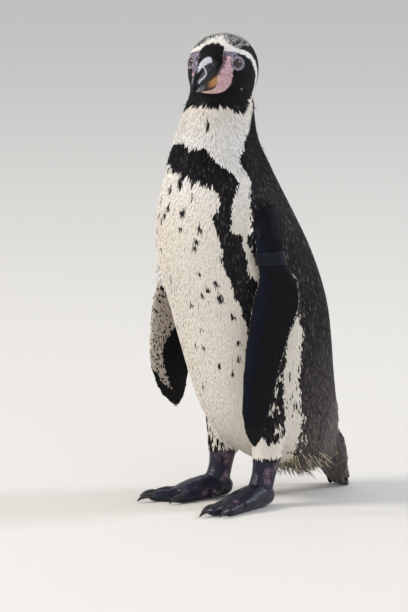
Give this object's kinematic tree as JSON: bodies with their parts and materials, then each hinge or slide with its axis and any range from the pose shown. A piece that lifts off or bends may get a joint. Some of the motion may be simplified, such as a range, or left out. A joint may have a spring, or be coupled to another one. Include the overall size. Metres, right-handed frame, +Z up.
{
  "type": "humboldt penguin",
  "caption": "Life-size still penguin standing on both feet with its head turned to its left, stout hooked bill, long narrow flippers, webbed clawed feet and a short wedge tail that touches the floor",
  "frame": {"origin": "on the floor under the middle of the bounding box", "axes": "+Z up, the bird's body faces -Y, its left side is +X, its head is turned 28 degrees towards +X"},
  "size_m": [0.2277, 0.2738, 0.5166],
  "materials": {
    "white_plumage": "white feathers",
    "dark_plumage": "blackish feathers",
    "bill_horn": "dark horn",
    "eye": "wet gloss",
    "foot_skin": "pebbled bare skin",
    "claw_horn": "dark horn",
    "band": "satin"
  },
  "bodies": {
    "root": {"head": "dark_plumage", "neck": "white_plumage", "trunk": "white_plumage", "tail": "dark_plumage", "bill_upper": "bill_horn", "bill_lower": "bill_horn", "eye_left": "eye", "eye_right": "eye", "flipper_left": "dark_plumage", "flipper_right": "dark_plumage", "flipper_band": "band", "leg_left": "foot_skin", "leg_right": "foot_skin", "foot_left": "foot_skin", "foot_right": "foot_skin", "claw_inner_left": "claw_horn", "claw_middle_left": "claw_horn", "claw_outer_left": "claw_horn", "claw_hallux_left": "claw_horn", "claw_inner_right": "claw_horn", "claw_middle_right": "claw_horn", "claw_outer_right": "claw_horn", "claw_hallux_right": "claw_horn"}
  },
  "joints": []
}
